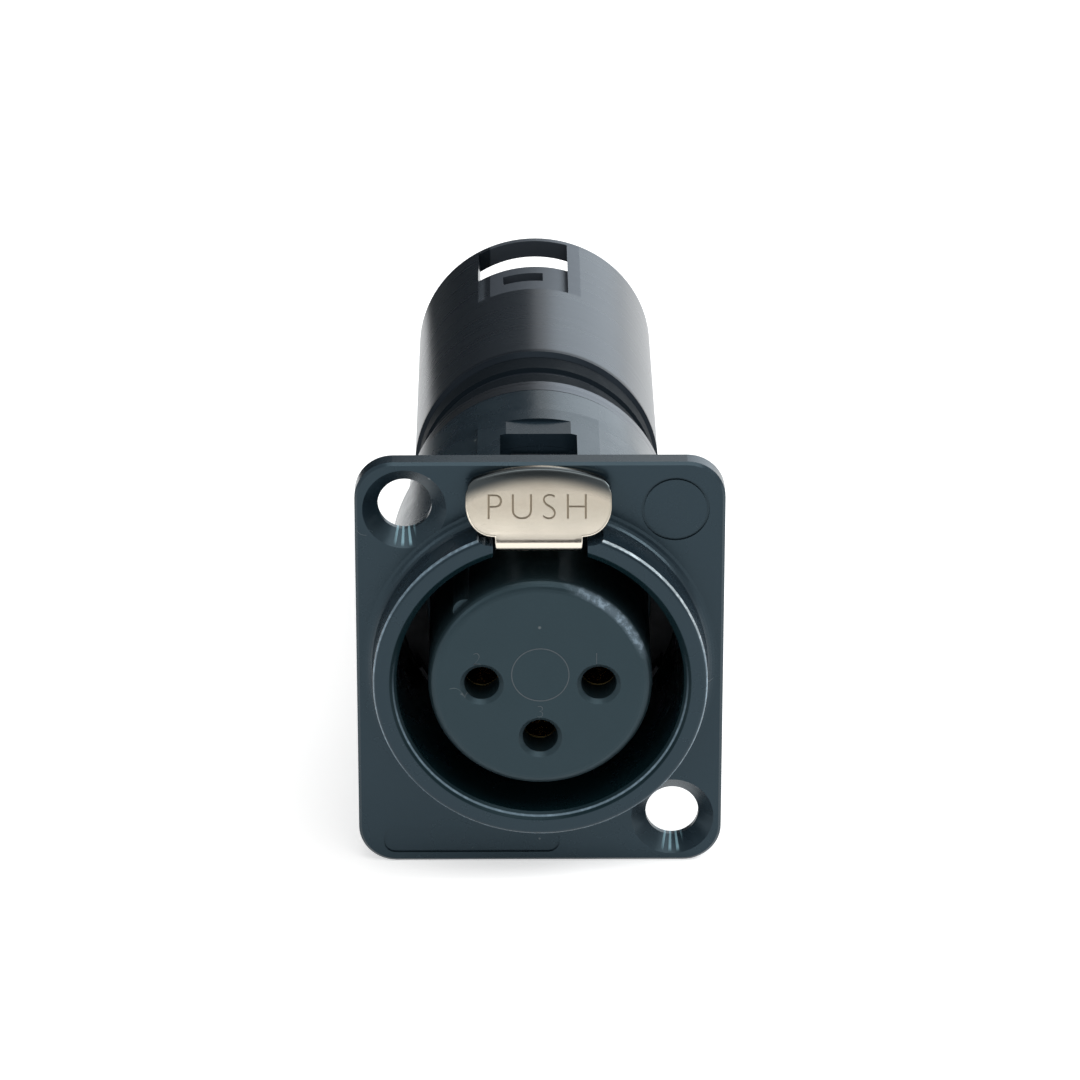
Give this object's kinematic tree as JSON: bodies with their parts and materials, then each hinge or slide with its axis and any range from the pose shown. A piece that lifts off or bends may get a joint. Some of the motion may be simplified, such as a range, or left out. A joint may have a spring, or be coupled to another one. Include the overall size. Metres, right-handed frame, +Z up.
{
  "type": "panel feed-through connector with latching socket and pin plug",
  "caption": "Flanged panel socket for microphone plugs, with a press-to-release latch, and a plug shell with pins on the back of the same round body.",
  "frame": {"origin": "centre of the flange's back face, on the axis of the socket, which is the centre of the screw pattern", "axes": "+Y out of the back along the plug shell, +Z up towards the latch, +X to the right as seen from the front"},
  "size_m": [0.026, 0.0661, 0.031],
  "materials": {
    "black_shell": "semi-gloss black paint on a zinc casting",
    "satin_shell": "satin black plated steel",
    "bright_ring": "satin black nickel, worn bright at the edge",
    "nickel": "warm nickel plate, satin",
    "spring_steel": "blued spring steel",
    "gold_brass": "thin gold plate on turned brass",
    "copper_wire": "tinned copper",
    "black_plastic": "matt glass-filled nylon",
    "grey_plastic": "matt nylon",
    "green_sleeve": "insulating sleeve",
    "red_sleeve": "insulating sleeve",
    "blue_sleeve": "insulating sleeve",
    "seal_rubber": "matt rubber"
  },
  "bodies": {
    "body": {"flange_plate": "black_shell", "flange_shell": "black_shell", "chamber_sleeve": "black_shell", "latch_spring": "spring_steel", "earth_spring": "spring_steel", "female_insert": "black_plastic", "contact_retainer": "grey_plastic", "socket_contact_1": "gold_brass", "socket_contact_2": "gold_brass", "socket_contact_3": "gold_brass", "link_wire_1": "copper_wire", "link_wire_2": "copper_wire", "link_wire_3": "copper_wire", "wire_sleeve_1": "green_sleeve", "wire_sleeve_2": "red_sleeve", "wire_sleeve_3": "blue_sleeve", "pin_contact_1": "gold_brass", "pin_contact_2": "gold_brass", "pin_contact_3": "gold_brass", "male_insert": "black_plastic", "insert_clip": "spring_steel", "rear_shell": "satin_shell", "lock_ring": "bright_ring", "front_seal": "seal_rubber", "rear_seal": "seal_rubber"},
    "latch": {"latch_lever": "nickel"}
  },
  "joints": [
    {"name": "latch_press", "type": "hinge", "parent": "body", "child": "latch", "pos_m": [0, -0.00245, 0.0145], "axis": [1, 0, 0], "range_deg": [0, 6], "stiffness_Nm_per_rad": 0.02, "springref_deg": -5.73, "deforming": ["latch_spring"]}
  ]
}
